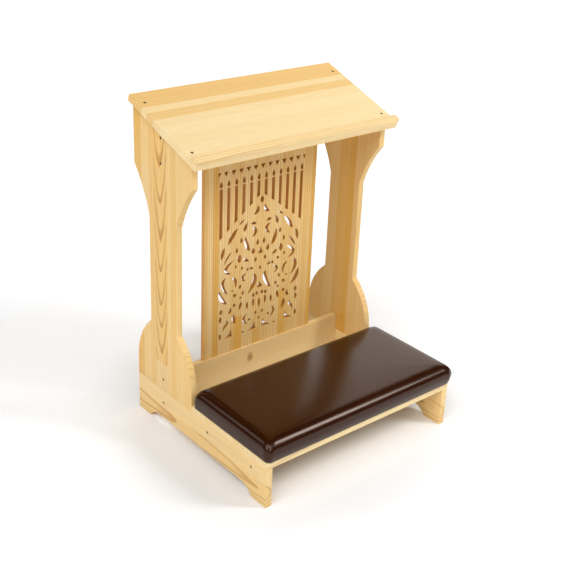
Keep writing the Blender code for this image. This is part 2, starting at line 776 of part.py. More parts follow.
# Cushion: a plywood base, a foam block, and a cover that is drawn over both and turned under


def cushion_form(length, depth, height, edge_radius, corner_radius):
    """A crowned pad with rounded top edges, and sides that are drawn in towards its flat base."""
    form = bmesh.new()
    bmesh.ops.create_cube(form, size=1)
    bmesh.ops.transform(form, matrix=Matrix.Diagonal((length, depth, height, 1)), verts=form.verts)
    bmesh.ops.translate(form, vec=(0, 0, height / 2), verts=form.verts)

    top_rim = [edge for edge in form.edges if min(vert.co.z for vert in edge.verts) > height / 2]
    bmesh.ops.bevel(form, geom=top_rim, offset=edge_radius, segments=4, profile=0.5, affect="EDGES")
    corners = [edge for edge in form.edges if abs(edge.verts[0].co.z - edge.verts[1].co.z) > FIT]
    bmesh.ops.bevel(form, geom=corners, offset=corner_radius, segments=3, profile=0.5, affect="EDGES")

    fullest = height - edge_radius
    across = spread(-length / 2, length / 2, CUSHION_FACETS_ACROSS + 1)[1:-1]
    along = spread(-depth / 2, depth / 2, CUSHION_FACETS_ALONG + 1)[1:-1]
    up = spread(0, fullest, CUSHION_FACETS_UP + 1)[1:-1]
    for normal, cuts in ((Vector((1, 0, 0)), across), (Vector((0, 1, 0)), along), (Vector((0, 0, 1)), up)):
        for distance in cuts:
            bmesh.ops.bisect_plane(
                form, geom=form.verts[:] + form.edges[:] + form.faces[:],
                plane_co=normal * distance, plane_no=normal)

    for vert in form.verts:
        rise = min(vert.co.z / fullest, 1)
        draw = CUSHION_DRAW * (1 - math.sin(rise * math.pi / 2))
        bow_across = 1 - (2 * vert.co.x / length) ** 2
        bow_along = 1 - (2 * vert.co.y / depth) ** 2
        vert.co.x *= 1 - 2 * draw / length
        vert.co.y *= 1 - 2 * draw / depth
        vert.co.z += CUSHION_CROWN * bow_across * bow_along * vert.co.z / height
    return form


def mesh_from(form, name):
    bmesh.ops.recalc_face_normals(form, faces=form.faces)
    mesh = bpy.data.meshes.new(name)
    form.to_mesh(mesh)
    form.free()
    mesh.shade_smooth()
    mesh.set_sharp_from_angle(angle=math.radians(40))
    return mesh


def cover_shell():
    """The cover's outer surface, open below inside its turned-under hem."""
    form = cushion_form(CUSHION_LENGTH, CUSHION_DEPTH, CUSHION_HEIGHT,
                        CUSHION_EDGE_RADIUS, CUSHION_CORNER_RADIUS)
    half_length = CUSHION_LENGTH / 2 - COVER_HEM
    half_depth = CUSHION_DEPTH / 2 - COVER_HEM
    for normal, reach in ((Vector((1, 0, 0)), half_length), (Vector((0, 1, 0)), half_depth)):
        for side in (-reach, reach):
            low_points = [vert for vert in form.verts if vert.co.z < FIT]
            bmesh.ops.bisect_plane(
                form, geom=low_points + underside(form.edges) + underside(form.faces),
                plane_co=normal * side, plane_no=normal)
    opening = []
    for face in underside(form.faces):
        middle = face.calc_center_median()
        if abs(middle.x) < half_length and abs(middle.y) < half_depth:
            opening.append(face)
    bmesh.ops.delete(form, geom=opening, context="FACES")
    return form


def underside(elements):
    """Those of a form's edges or faces that lie in its flat underside."""
    return [element for element in elements if max(vert.co.z for vert in element.verts) < FIT]


cushion_cover = place(
    "cushion_cover", mesh_from(cover_shell(), "cushion_cover"), (0, CUSHION_Y, CUSHION_BOTTOM))
skin = cushion_cover.modifiers.new("leatherette", "SOLIDIFY")
skin.thickness = COVER_THICKNESS
skin.offset = -1
skin.use_even_offset = True
finish(cushion_cover, (0.045, 0.022, 0.012), 0.38)

SKIN = COVER_THICKNESS + FIT
BASE_BOTTOM = CUSHION_BOTTOM + SKIN
FOAM_BOTTOM = BASE_BOTTOM + PLY + FIT
INNER_INSET = SKIN + CUSHION_DRAW


def rounded_rectangle(length, depth, radius, facets=4):
    points = []
    for quarter in range(4):
        sign_x = 1 if quarter in (0, 3) else -1
        sign_y = 1 if quarter in (0, 1) else -1
        for angle in spread(quarter * math.pi / 2, (quarter + 1) * math.pi / 2, facets + 1):
            points.append((sign_x * (length / 2 - radius) + radius * math.cos(angle),
                           sign_y * (depth / 2 - radius) + radius * math.sin(angle)))
    return points


cushion_base = shaped_board(
    "cushion_base",
    [rounded_rectangle(CUSHION_LENGTH - 2 * INNER_INSET, CUSHION_DEPTH - 2 * INNER_INSET,
                       CUSHION_CORNER_RADIUS)],
    PLY, (0, CUSHION_Y, BASE_BOTTOM + PLY / 2), (0, 0, 0))
finish(cushion_base, (0.55, 0.40, 0.24), 0.7)

cushion_foam = place(
    "cushion_foam",
    mesh_from(
        cushion_form(CUSHION_LENGTH - 2 * SKIN, CUSHION_DEPTH - 2 * SKIN,
                     CUSHION_BOTTOM + CUSHION_HEIGHT - SKIN - FOAM_BOTTOM,
                     CUSHION_EDGE_RADIUS - SKIN, CUSHION_CORNER_RADIUS - SKIN),
        "cushion_foam"),
    (0, CUSHION_Y, FOAM_BOTTOM))
finish(cushion_foam, (0.80, 0.74, 0.55), 0.9)

CUSHION_SCREWS_X = CUSHION_LENGTH / 2 - CUSHION_SCREW_SIDE_INSET
CUSHION_SCREWS_Y = spread(FRONT_BATTEN_Y, REAR_BATTEN_Y, 4)[1:3]
screws(
    "cushion_screw", SHORT_SCREW,
    [((x, y, KNEELER_BOTTOM), (0, 0, -1)) for x in (-CUSHION_SCREWS_X, CUSHION_SCREWS_X)
     for y in CUSHION_SCREWS_Y],
    [kneeler_board, cushion_base],
)
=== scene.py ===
import json
import math
import random

import bpy
from mathutils import Matrix, Vector


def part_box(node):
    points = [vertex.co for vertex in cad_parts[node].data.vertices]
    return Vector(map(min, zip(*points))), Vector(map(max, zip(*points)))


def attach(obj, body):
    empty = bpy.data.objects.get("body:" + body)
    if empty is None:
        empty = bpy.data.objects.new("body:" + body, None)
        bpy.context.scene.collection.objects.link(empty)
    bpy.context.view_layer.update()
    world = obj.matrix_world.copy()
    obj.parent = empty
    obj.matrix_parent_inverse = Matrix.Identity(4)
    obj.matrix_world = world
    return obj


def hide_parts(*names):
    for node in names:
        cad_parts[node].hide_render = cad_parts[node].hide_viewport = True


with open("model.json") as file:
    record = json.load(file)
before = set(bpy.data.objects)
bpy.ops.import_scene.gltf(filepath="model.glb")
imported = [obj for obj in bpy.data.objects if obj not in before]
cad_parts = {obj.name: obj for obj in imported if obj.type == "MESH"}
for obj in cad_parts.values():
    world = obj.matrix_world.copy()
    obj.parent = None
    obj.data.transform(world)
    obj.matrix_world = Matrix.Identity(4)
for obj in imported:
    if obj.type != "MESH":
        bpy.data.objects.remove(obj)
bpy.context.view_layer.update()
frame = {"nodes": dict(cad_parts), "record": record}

nodes = frame["nodes"]


# Floor rails. Two pine planks stand on edge, one under each side, sawn out below so that each rests on
# a foot at both ends. They are glued up from two staves, lacquered clear, and carry everything else.

JOIN = 0.00002
FLAT = math.radians(0.2)
SAWN_CURVE = math.radians(30)
SANDED_EDGE = 0.00035
SANDED_STEPS = 2


def start_piece(name, mesh):
    """Puts a mesh in the scene as the only selected object."""
    bpy.ops.object.select_all(action="DESELECT")
    piece = bpy.data.objects.new(name, mesh)
    bpy.context.scene.collection.objects.link(piece)
    bpy.context.view_layer.objects.active = piece
    piece.select_set(True)
    return piece


def join_doubles():
    """Merges points of the active piece that lie in one place, and leaves edit mode on with all selected."""
    bpy.ops.object.mode_set(mode="EDIT")
    bpy.ops.mesh.select_all(action="SELECT")
    bpy.ops.mesh.remove_doubles(threshold=JOIN)


def sanded_board(node):
    """A copy of a board with joined triangles, smooth sawn curves and edges rounded by sandpaper."""
    board = start_piece(node + "_board", nodes[node].data.copy())
    bpy.ops.mesh.customdata_custom_splitnormals_clear()
    join_doubles()
    bpy.ops.mesh.dissolve_limited(angle_limit=FLAT)
    bpy.ops.object.mode_set(mode="OBJECT")
    sanding = board.modifiers.new("sanding", "BEVEL")
    sanding.width = SANDED_EDGE
    sanding.segments = SANDED_STEPS
    sanding.limit_method = "ANGLE"
    sanding.angle_limit = SAWN_CURVE
    bpy.ops.object.modifier_apply(modifier=sanding.name)
    join_doubles()
    bpy.ops.mesh.dissolve_degenerate(threshold=JOIN)
    bpy.ops.object.mode_set(mode="OBJECT")
    bpy.ops.object.shade_smooth_by_angle(angle=SAWN_CURVE)
    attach(board, "root")
    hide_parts(node)
    return board


def feed(socket, value):
    """Links a Field to a node's socket, or sets the socket to a plain value."""
    if isinstance(value, Field):
        socket.id_data.links.new(value.socket, socket)
    else:
        socket.default_value = value


class Field:
    """A value, colour or vector that varies over a surface. Sums and products of values add Math nodes."""

    def __init__(self, socket):
        self.socket = socket

    def node(self, kind, settings, sockets, output=0):
        """Adds a node of this kind. Its settings come first, then the values or Fields on its sockets."""
        made = self.socket.id_data.nodes.new("ShaderNode" + kind)
        for name, setting in settings.items():
            if name == "stops":
                made.color_ramp.interpolation = "CONSTANT"
                made.color_ramp.elements.remove(made.color_ramp.elements[1])
                for position, colour in setting[1:]:
                    made.color_ramp.elements.new(position).color = colour
                made.color_ramp.elements[0].color = setting[0][1]
            else:
                setattr(made, name, setting)
        for name, value in sockets.items():
            feed(made.inputs[name], value)
        return Field(made.outputs[output])

    def outputs(self):
        """All outputs of the node that this Field comes from."""
        return [Field(socket) for socket in self.socket.node.outputs]

    def axes(self):
        """The three parts of a vector."""
        return self.node("SeparateXYZ", {}, {0: self}).outputs()

    def math(self, operation, *others):
        """A Math node on this value, with further values after it."""
        return self.node("Math", {"operation": operation}, dict(enumerate((self, *others))))

    def __add__(self, other):
        return self.math("ADD", other)

    def __radd__(self, other):
        return self.math("ADD", other)

    def __sub__(self, other):
        return self.math("SUBTRACT", other)

    def __rsub__(self, other):
        return self.node("Math", {"operation": "SUBTRACT"}, {0: other, 1: self})

    def __mul__(self, other):
        return self.math("MULTIPLY", other)

    def __rmul__(self, other):
        return self.math("MULTIPLY", other)

    def __truediv__(self, other):
        return self.math("DIVIDE", other)

    def ease(self, start, end):
        """Rises smoothly from 0 at start to 1 at end."""
        return self.node("MapRange", {"interpolation_type": "SMOOTHSTEP"}, {0: self, 1: start, 2: end})

    def fade(self, strength, start, end):
        """Falls smoothly from a strength at start to 0 at end."""
        return strength * (1 - self.ease(start, end))

    def blend(self, low, high):
        """The colour between two colours that this value picks."""
        return self.node("Mix", {"data_type": "RGBA"}, {0: self, 6: low, 7: high}, output=2)

    def bump(self, strength, distance):
        """The surface's direction where this value is its relief."""
        return self.node("Bump", {}, {"Strength": strength, "Distance": distance, "Height": self})

    def noise(self, x, y, z, detail):
        """Noise on three values that have been stretched as the pattern needs."""
        stretched = self.node("CombineXYZ", {}, {0: x, 1: y, 2: z})
        return self.node("TexNoise", {}, {"Vector": stretched, "Scale": 1.0, "Detail": detail})


def new_finish(name):
    """A new material, its shader and the Field of the piece's own coordinates."""
    finish = bpy.data.materials.new(name)
    finish.use_nodes = True
    tree = finish.node_tree
    shader = tree.nodes["Principled BSDF"]
    return finish, shader, Field(tree.nodes.new("ShaderNodeTexCoord").outputs["Object"])


def plug(shader, **sockets):
    """Feeds a shader's sockets with Fields or plain values. Spaces are written as underscores."""
    for name, value in sockets.items():
        feed(shader.inputs[name.replace("_", " ")], value)


CREAM = (0.930, 0.740, 0.410, 1.0)
HONEY = (0.800, 0.450, 0.090, 1.0)
LATEWOOD = (0.460, 0.185, 0.030, 1.0)
KNOT_BROWN = (0.330, 0.115, 0.014, 1.0)
BURN_AND_SHADE_BROWN = (0.560, 0.245, 0.045, 1.0)

# The yearly rings: how far apart they lie, what part of a year is latewood, and where the pith can lie.
RING_SPACING = 0.0070
LATE_START = 0.62
LATE_FULL = 0.95
PITH_DEPTH = 0.040
PITH_LEAN = 0.35
PITH_REACH = 0.12
STEEPEST = 0.12
JOINT_FADE = 0.3
JOINT_SHIFT = 0.2

# Noise in the grain: how fast it changes along the grain and across it, in steps per metre, and its detail.
BEND = (1.8, 4, 1.0)
RIPPLE = (9, 40, 2.0)
STREAK = (1.3, 170, 3.0)
FIBRE = (16, 1000, 2.0)

# How far the noise moves the rings, and how fast good and poor years follow each other.
BEND_REACH = 0.012
RIPPLE_REACH = 0.0012
FIGURED_RIPPLE = 0.0040
UNEVEN_REACH = 0.007
UNEVEN_INWARD = 90
UNEVEN_ALONG = 0.7
UNEVEN_ACROSS = 2
UNEVEN_DETAIL = 2.0

# A knot: how far the rings swing round it, how ragged it is, and its brown rim and heart, each as its
# strength and where it starts and ends to fade.
KNOT_SWING = 1.6
KNOT_SWING_FADE = 0.30
KNOT_SKEW = 0.004
KNOT_RAGGED = 0.002
KNOT_RIM = (0.50, 0.1, 1.1)
KNOT_HEART = (0.22, 0.0, 0.25)

# What the streaks and pores do to the colour, and the fibres and rings to the lacquer over them.
STREAK_TONE = 0.18
FIGURED_STREAK = 0.6
PORE_TONE = 0.14
PORE_LEVEL = 0.62
PORE_DEPTH = 0.3
FIBRE_RELIEF = 0.5
RING_RELIEF = 0.4
RELIEF_STRENGTH = 0.12
RELIEF_DEPTH = 0.0004
LACQUER_GLOSS = 0.15
LACQUER_ROUGHNESS = 0.40
FIBRE_ROUGHNESS = 0.10
RING_ROUGHNESS = 0.05
COAT_SHARE = 0.25
COAT_ROUGHNESS = 0.28


def spans_of(node, turn=0.0):
    """How far a node reaches along X, Y and Z, as (low, high), in a frame turned about X."""
    points = [Matrix.Rotation(-turn, 3, "X") @ vert.co for vert in nodes[node].data.vertices]
    return {axis: (min(axis_places), max(axis_places)) for axis, axis_places in zip("XYZ", zip(*points))}


def grain_axes(place, spans, along, across, turn):
    """The places along the grain, across the staves and through the board, the last from its middle."""
    turned = place.node("Mapping", {}, {"Vector": place, "Rotation": (-turn, 0, 0)})
    axes = dict(zip("XYZ", turned.axes()))
    length = axes.pop(along)
    breadth = axes.pop(across)
    ((through, depth),) = axes.items()
    return length, breadth, depth - sum(spans[through]) / 2


def stave_fields(length, breadth, span, staves, joints):
    """What the wood of each stave is like: its tone, where its pith lies, its taper and its figure.

    The staves lie side by side as the stops of one ramp. Below a joint a stave goes on in other wood.
    """
    low, high = span
    reach = high - low + 2 * PITH_REACH
    stops = []
    for edge, tone, pith, taper, figure in staves:
        colour = (tone, (pith - low + PITH_REACH) / reach, taper / STEEPEST, figure)
        stops.append(((edge - low) / (high - low), colour))
    ramp = breadth.node("ValToRGB", {"stops": stops}, {0: (breadth - low) / (high - low)})
    figure = ramp.outputs()[1]
    tone, pith, taper = ramp.node("SeparateColor", {}, {0: ramp}).outputs()
    for start, end, joint_height, joint_tone in joints:
        within = breadth.math("GREATER_THAN", start) * breadth.math("LESS_THAN", end)
        below = within * length.math("LESS_THAN", joint_height)
        tone = tone + below * (joint_tone - tone)
        figure = figure * (1 - JOINT_FADE * below)
        pith = pith + JOINT_SHIFT * below
    return tone, pith * reach + low - PITH_REACH, STEEPEST * taper, figure


def pine(name, node, along, across, staves, knots=(), joints=(), turn=0.0, burn_and_shade=0.0,
         gloss=LACQUER_GLOSS, seed=0.0):
    """Clear-lacquered pine, with the grain along one axis and the staves laid side by side across another.

    Each stave shows the yearly rings of its own log. They run straight where the pith lies beside the
    stave, and in nested arches where it lies below, because a log tapers.
    """
    finish, shader, place = new_finish(name)
    spans = spans_of(node, turn)
    length, breadth, depth = grain_axes(place, spans, along, across, turn)
    tone, pith, taper, figure = stave_fields(length, breadth, spans[across], staves, joints)

    def grain(along_grain, across_grain, detail):
        """Noise that is drawn out along the grain."""
        return length.noise(
            length * along_grain + seed, breadth * across_grain, depth * across_grain, detail)

    bend = grain(*BEND) - 0.5
    ripple = grain(*RIPPLE) - 0.5
    streak = grain(*STREAK)
    fibre = grain(*FIBRE)

    sideways = breadth - pith + BEND_REACH * bend
    inward = PITH_DEPTH + PITH_LEAN * depth
    radius = (sideways * sideways + inward * inward).math("SQRT")
    cone = radius - taper * length
    uneven = length.noise(
        cone * UNEVEN_INWARD + seed, length * UNEVEN_ALONG, breadth * UNEVEN_ACROSS, UNEVEN_DETAIL) - 0.5
    rippled = (RIPPLE_REACH + FIGURED_RIPPLE * figure) * ripple
    rings = (cone + UNEVEN_REACH * uneven + rippled) / RING_SPACING

    knot_eyes = []
    for knot_along, knot_across, knot_length, knot_width in knots:
        beside = (breadth - knot_across + KNOT_SKEW * bend) / knot_width
        ahead = (length - knot_along + KNOT_RAGGED * ripple) / knot_length
        distance = beside * beside + ahead * ahead
        swing = (distance * -KNOT_SWING_FADE).math("EXPONENT")
        rings = rings + swing * (KNOT_SWING * knot_width / RING_SPACING)
        knot_eyes.append(distance.fade(*KNOT_RIM) + distance.fade(*KNOT_HEART))

    year = rings.math("FRACT")
    latewood = year.ease(LATE_START, LATE_FULL) * (1 - year.ease(LATE_FULL, 1.0))
    streaked = tone + (STREAK_TONE + FIGURED_STREAK * figure) * (streak - 0.5)
    wood = (latewood * figure).blend(streaked.blend(CREAM, HONEY), LATEWOOD)
    wood = (PORE_TONE * (PORE_LEVEL - fibre).ease(0.0, PORE_DEPTH)).blend(wood, LATEWOOD)
    for eye in knot_eyes:
        wood = eye.blend(wood, KNOT_BROWN)
    # Painted shade: a blend towards dark brown. On the walls of cuts it is partly the saw's browning as
    # well.
    if burn_and_shade:
        wood = (burn_and_shade * (0.5 + streak)).blend(wood, BURN_AND_SHADE_BROWN)
    relief = FIBRE_RELIEF * fibre + RING_RELIEF * latewood
    plug(shader, Base_Color=wood, Normal=relief.bump(RELIEF_STRENGTH, RELIEF_DEPTH),
         Roughness=LACQUER_ROUGHNESS + FIBRE_ROUGHNESS * fibre + RING_ROUGHNESS * latewood,
         Specular_IOR_Level=gloss, Coat_Weight=gloss * COAT_SHARE, Coat_Roughness=COAT_ROUGHNESS)
    return finish


def dress(piece, finish):
    """Gives a piece one finish all over."""
    piece.data.materials.clear()
    piece.data.materials.append(finish)


# Every list of staves gives where each one starts, its tone, where its pith lies, its taper and its figure.
RAIL_STAVES = [(0.0, 0.45, 0.042, 0.022, 0.60), (0.062, 0.30, 0.160, 0.006, 0.22)]
RAIL_SEED = 3.1
for number, side in enumerate(("left", "right")):
    rail = sanded_board(side + "_base_rail")
    dress(rail, pine(
        side + "_rail_pine", side + "_base_rail", "Y", "Z", RAIL_STAVES, seed=RAIL_SEED + number))


# Uprights. A waisted pine board on each side, cut from an edge-glued panel with the grain upright and
# sawn to its curves with a jigsaw. It stands on its rail on two dowels, flush with its outer face.

upright_front = spans_of("left_upright")["Y"][0]
LEFT_STAVES = [
    (upright_front, 0.52, -0.040, 0.004, 0.25),
    (0.061, 0.46, 0.160, 0.006, 0.22),
    (0.097, 0.64, 0.000, 0.004, 0.32),
    (0.118, 0.48, 0.220, 0.010, 0.22),
    (0.137, 0.70, 0.166, 0.080, 0.78),
    (0.192, 0.62, 0.290, 0.006, 0.28),
    (0.214, 0.44, 0.120, 0.008, 0.25),
    (0.250, 0.80, 0.340, 0.006, 0.35),
]
# Every joint gives where its stave starts and ends, its height and the tone of the wood below it.
LEFT_JOINTS = [(0.137, 0.192, 0.193, 0.35)]
RIGHT_STAVES = [
    (upright_front, 0.45, -0.060, 0.005, 0.22),
    (0.075, 0.55, -0.010, 0.008, 0.25),
    (0.113, 1.10, 0.220, 0.006, 0.35),
    (0.140, 0.95, 0.060, 0.010, 0.30),
    (0.178, 0.70, 0.280, 0.006, 0.22),
    (0.218, 0.85, 0.120, 0.004, 0.30),
    (0.252, 0.80, 0.340, 0.008, 0.25),
]
left_upright = sanded_board("left_upright")
dress(left_upright, pine(
    "left_upright_pine", "left_upright", "Z", "Y", LEFT_STAVES, joints=LEFT_JOINTS))
# The right board is browned all over as painted shade: its inner face lies under the desk, behind the left
# upright.
right_upright = sanded_board("right_upright")
dress(right_upright, pine(
    "right_upright_pine", "right_upright", "Z", "Y", RIGHT_STAVES, burn_and_shade=0.10, seed=7.7))


# Dowels. Turned beech pins, glued half into one board and half into the next: two under each upright,
# and three along the top and bottom edges of the pierced panel. None of them shows.

BEECH_PALE = (0.66, 0.46, 0.28, 1.0)
BEECH_RED = (0.50, 0.31, 0.17, 1.0)
FLECKS_ACROSS = 900
FLECKS_ALONG = 60
FLECK_DETAIL = 3.0
BEECH_ROUGHNESS = 0.55
FLECK_ROUGHNESS = 0.2


def beech():
    """Raw beech with short flecks along the pin."""
    finish, shader, place = new_finish("dowel_beech")
    x, y, z = place.axes()
    fleck = x.noise(x * FLECKS_ACROSS, y * FLECKS_ACROSS, z * FLECKS_ALONG, FLECK_DETAIL)
    plug(shader, Base_Color=fleck.blend(BEECH_PALE, BEECH_RED),
         Roughness=BEECH_ROUGHNESS + FLECK_ROUGHNESS * fleck)
    return finish


dowel_beech = beech()
for node in nodes:
    if "_dowel_" in node:
        dress(nodes[node], dowel_beech)


# Kick board and upper cross rail. Plain pine boards between the uprights, screwed through them from
# outside. The kick board carries the panel's foot, and the upper rail hides below the desk.

STAVE_WIDTHS = (0.026, 0.052)
STAVE_PITHS = (0.06, 0.10)
STAVE_TAPERS = (0.0, 0.012)
STAVE_FIGURES = (0.15, 0.4)


def staves_across(seed, low, high, tones):
    """Glued straight-grained staves from one edge of a board to the other, drawn at random."""
    draw = random.Random(seed)
    staves = []
    edge = low
    while edge < high:
        pith = edge + draw.choice((-1, 1)) * draw.uniform(*STAVE_PITHS)
        tone = draw.uniform(*tones)
        taper = draw.uniform(*STAVE_TAPERS)
        figure = draw.uniform(*STAVE_FIGURES)
        staves.append((edge, tone, pith, taper, figure))
        edge += draw.uniform(*STAVE_WIDTHS)
    return staves


kick_foot = spans_of("kick_board")["Z"][0]
KICK_STAVES = [(kick_foot, 0.24, -0.020, 0.004, 0.20), (0.104, 0.34, 0.200, 0.004, 0.22)]
# A knot gives its place along and across the board, then half its length and half its width.
KICK_KNOT = (-0.030, 0.121, 0.0130, 0.0185)
CROSS_TONES = (0.2, 0.6)
CROSS_STAVES = staves_across(11, *spans_of("upper_cross_rail")["Z"], CROSS_TONES)
dress(nodes["kick_board"], pine(
    "kick_board_pine", "kick_board", "X", "Z", KICK_STAVES, knots=[KICK_KNOT], seed=1.3))
dress(nodes["upper_cross_rail"], pine(
    "upper_rail_pine", "upper_cross_rail", "X", "Z", CROSS_STAVES, seed=5.9))


# Pierced panel. A thinner edge-glued pine board with its grain upright, sawn through with a frieze of
# drops and slots over a pointed arch of leaves. The walls of the cuts are browner: partly the saw's
# browning, and partly painted shade inside the cuts.

SHARP_TURN = math.radians(62)
PANEL_EDGE = 0.0004
BOARD_CORNERS = 4
WALL_TILT = 0.3
panel_low, panel_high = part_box("fretwork_panel")


def front_loops(node, front):
    """Closed outlines of a flat board's front face, as lists of (across, up)."""
    board = start_piece(node + "_outline", nodes[node].data.copy())
    join_doubles()
    bpy.ops.object.mode_set(mode="OBJECT")
    points = [vert.co for vert in board.data.vertices]
    seen = {}
    for face in board.data.polygons:
        if all(abs(points[index].y - front) < JOIN for index in face.vertices):
            for start, end in face.edge_keys:
                seen[start, end] = seen.get((start, end), 0) + 1
    beside = {}
    for (start, end), faces in seen.items():
        if faces == 1:
            beside.setdefault(start, []).append(end)
            beside.setdefault(end, []).append(start)
    loops = []
    while beside:
        start = min(beside)
        loop = [start]
        step = min(beside[start])
        while step != start:
            loop.append(step)
            step = next(index for index in beside[step] if index != loop[-2])
        for index in loop:
            del beside[index]
        loops.append([Vector((points[index].x, points[index].z)) for index in loop])
    bpy.data.objects.remove(board)
    return loops


def is_corner(before, point, after):
    """Whether an outline turns sharply at a point, as at the tip of a leaf."""
    return (point - before).angle(after - point, 0) > SHARP_TURN


def rounded_out(loop):
    """Twice as many points on a loop, on a smooth curve between its corners.

    A new point takes nine sixteenths of each neighbour, less a sixteenth of each point beyond them.
    """
    count = len(loop)
    corner = [is_corner(loop[i - 1], loop[i], loop[(i + 1) % count]) for i in range(count)]
    finer = []
    for i in range(count):
        start, end = loop[i], loop[(i + 1) % count]
        before = 2 * start - end if corner[i] else loop[i - 1]
        after = 2 * end - start if corner[(i + 1) % count] else loop[(i + 2) % count]
        finer += [start, (9 * (start + end) - before - after) / 16]
    return finer


def pierced_panel():
    """The panel as one flat curve with its cuts as holes, thickened and stood upright."""
    curve = bpy.data.curves.new("fretwork", "CURVE")
    curve.dimensions = "2D"
    curve.fill_mode = "BOTH"
    curve.extrude = (panel_high.y - panel_low.y) / 2 - PANEL_EDGE
    curve.bevel_depth = PANEL_EDGE
    curve.bevel_resolution = 0
    curve.offset = -PANEL_EDGE
    for loop in front_loops("fretwork_panel", panel_low.y):
        smooth = rounded_out(rounded_out(loop)) if len(loop) > BOARD_CORNERS else loop
        spline = curve.splines.new("POLY")
        spline.points.add(len(smooth) - 1)
        for point, (across, up) in zip(spline.points, smooth):
            point.co = (across, up, 0, 1)
        spline.use_cyclic_u = True
    start_piece("fretwork_panel_board", curve)
    bpy.ops.object.convert(target="MESH")
    panel = bpy.context.object
    stand_up = Matrix.Rotation(math.pi / 2, 4, "X")
    panel.data.transform(Matrix.Translation((0, (panel_low.y + panel_high.y) / 2, 0)) @ stand_up)
    join_doubles()
    bpy.ops.mesh.normals_make_consistent(inside=False)
    bpy.ops.object.mode_set(mode="OBJECT")
    bpy.ops.object.shade_smooth_by_angle(angle=SAWN_CURVE)
    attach(panel, "root")
    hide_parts("fretwork_panel")
    return panel


PANEL_STAVES = [
    (panel_low.x, 0.70, -0.250, 0.004, 0.40),
    (-0.176, 0.40, -0.080, 0.006, 0.40),
    (-0.161, 0.90, -0.250, 0.004, 0.60),
    (-0.142, 0.44, -0.030, 0.006, 0.42),
    (-0.100, 0.60, -0.200, 0.008, 0.46),
    (-0.060, 0.46, 0.030, 0.004, 0.42),
    (-0.022, 0.60, -0.110, 0.006, 0.46),
    (0.026, 0.48, 0.120, 0.004, 0.42),
    (0.069, 0.66, -0.010, 0.008, 0.46),
    (0.108, 0.52, 0.200, 0.006, 0.42),
    (0.146, 0.66, 0.060, 0.004, 0.46),
    (0.174, 0.95, 0.270, 0.006, 0.55),
]
PANEL_JOINTS = [
    (-0.086, -0.060, 0.262, 0.98),
    (0.069, 0.092, 0.300, 0.95),
    (-0.022, 0.004, 0.208, 0.85),
]
PANEL_SEED = 2.9
panel = pierced_panel()
dress(panel, pine(
    "panel_pine", "fretwork_panel", "Z", "X", PANEL_STAVES, joints=PANEL_JOINTS, seed=PANEL_SEED))
# The walls of the cuts get a browned copy of the pine: the saw's browning and painted shade.
panel.data.materials.append(pine(
    "cut_wall_pine", "fretwork_panel", "Z", "X", PANEL_STAVES, burn_and_shade=0.90, gloss=0.04, seed=PANEL_SEED))
for face in panel.data.polygons:
    between_sides = abs(face.center.x) < panel_high.x - JOIN
    between_ends = panel_low.z + JOIN < face.center.z < panel_high.z - JOIN
    if between_sides and between_ends and abs(face.normal.y) < WALL_TILT:
        face.material_index = 1


# Desk board. One wide edge-glued pine board with its grain along the bench, screwed down on the sloping
# heads of the uprights. Its staves differ in tone, darkest along the back.

book_rest = next(mount for mount in frame["record"]["mounts"] if mount["name"] == "book_rest")
rest_axis = Vector(book_rest["axis"])
DESK_SLOPE = math.atan2(-rest_axis.y, rest_axis.z)
desk_front = spans_of("desk_board", DESK_SLOPE)["Y"][0]
DESK_STAVES = [
    (desk_front, 0.14, desk_front - 0.090, 0.004, 0.14),
    (desk_front + 0.041, 0.04, desk_front + 0.130, 0.006, 0.10),
    (desk_front + 0.079, 0.10, desk_front, 0.004, 0.12),
    (desk_front + 0.118, 0.02, desk_front + 0.200, 0.006, 0.10),
    (desk_front + 0.155, 0.16, desk_front + 0.060, 0.004, 0.12),
    (desk_front + 0.187, 0.58, desk_front + 0.290, 0.006, 0.22),
    (desk_front + 0.216, 0.18, desk_front + 0.120, 0.004, 0.12),
    (desk_front + 0.240, 0.66, desk_front + 0.390, 0.006, 0.22),
]
dress(nodes["desk_board"], pine(
    "desk_pine", "desk_board", "X", "Y", DESK_STAVES, turn=DESK_SLOPE, seed=4.4))


# Book stop. A pine strip along the front of the desk, bevelled behind and with its other edges rounded,
# glued down and screwed from below the desk's front edge.

STOP_CHAMFER = 0.010
STOP_ROUND = 0.0022
STOP_ROUND_STEPS = 3


def select_parts(piece, kind, wanted):
    """Selects the points, edges or faces of a piece that pass a test, and leaves edit mode on."""
    bpy.ops.object.mode_set(mode="EDIT")
    bpy.ops.mesh.select_mode(type=kind)
    bpy.ops.mesh.select_all(action="DESELECT")
    bpy.ops.object.mode_set(mode="OBJECT")
    parts = {"VERT": piece.data.vertices, "EDGE": piece.data.edges, "FACE": piece.data.polygons}
    for part in parts[kind]:
        part.select = wanted(part)
    bpy.ops.object.mode_set(mode="EDIT")


def ends_of(piece, edge):
    """Where the two ends of an edge lie."""
    return [piece.data.vertices[index].co for index in edge.vertices]


def strip_between(name, spans):
    """A box that spans these three (low, high) pairs, as the only selected object."""
    bpy.ops.object.select_all(action="DESELECT")
    bpy.ops.mesh.primitive_cube_add(size=1)
    strip = bpy.context.object
    strip.name = name
    middle = [(low + high) / 2 for low, high in spans]
    size = [high - low for low, high in spans]
    strip.data.transform(Matrix.Translation(middle) @ Matrix.Diagonal((*size, 1)))
    return strip


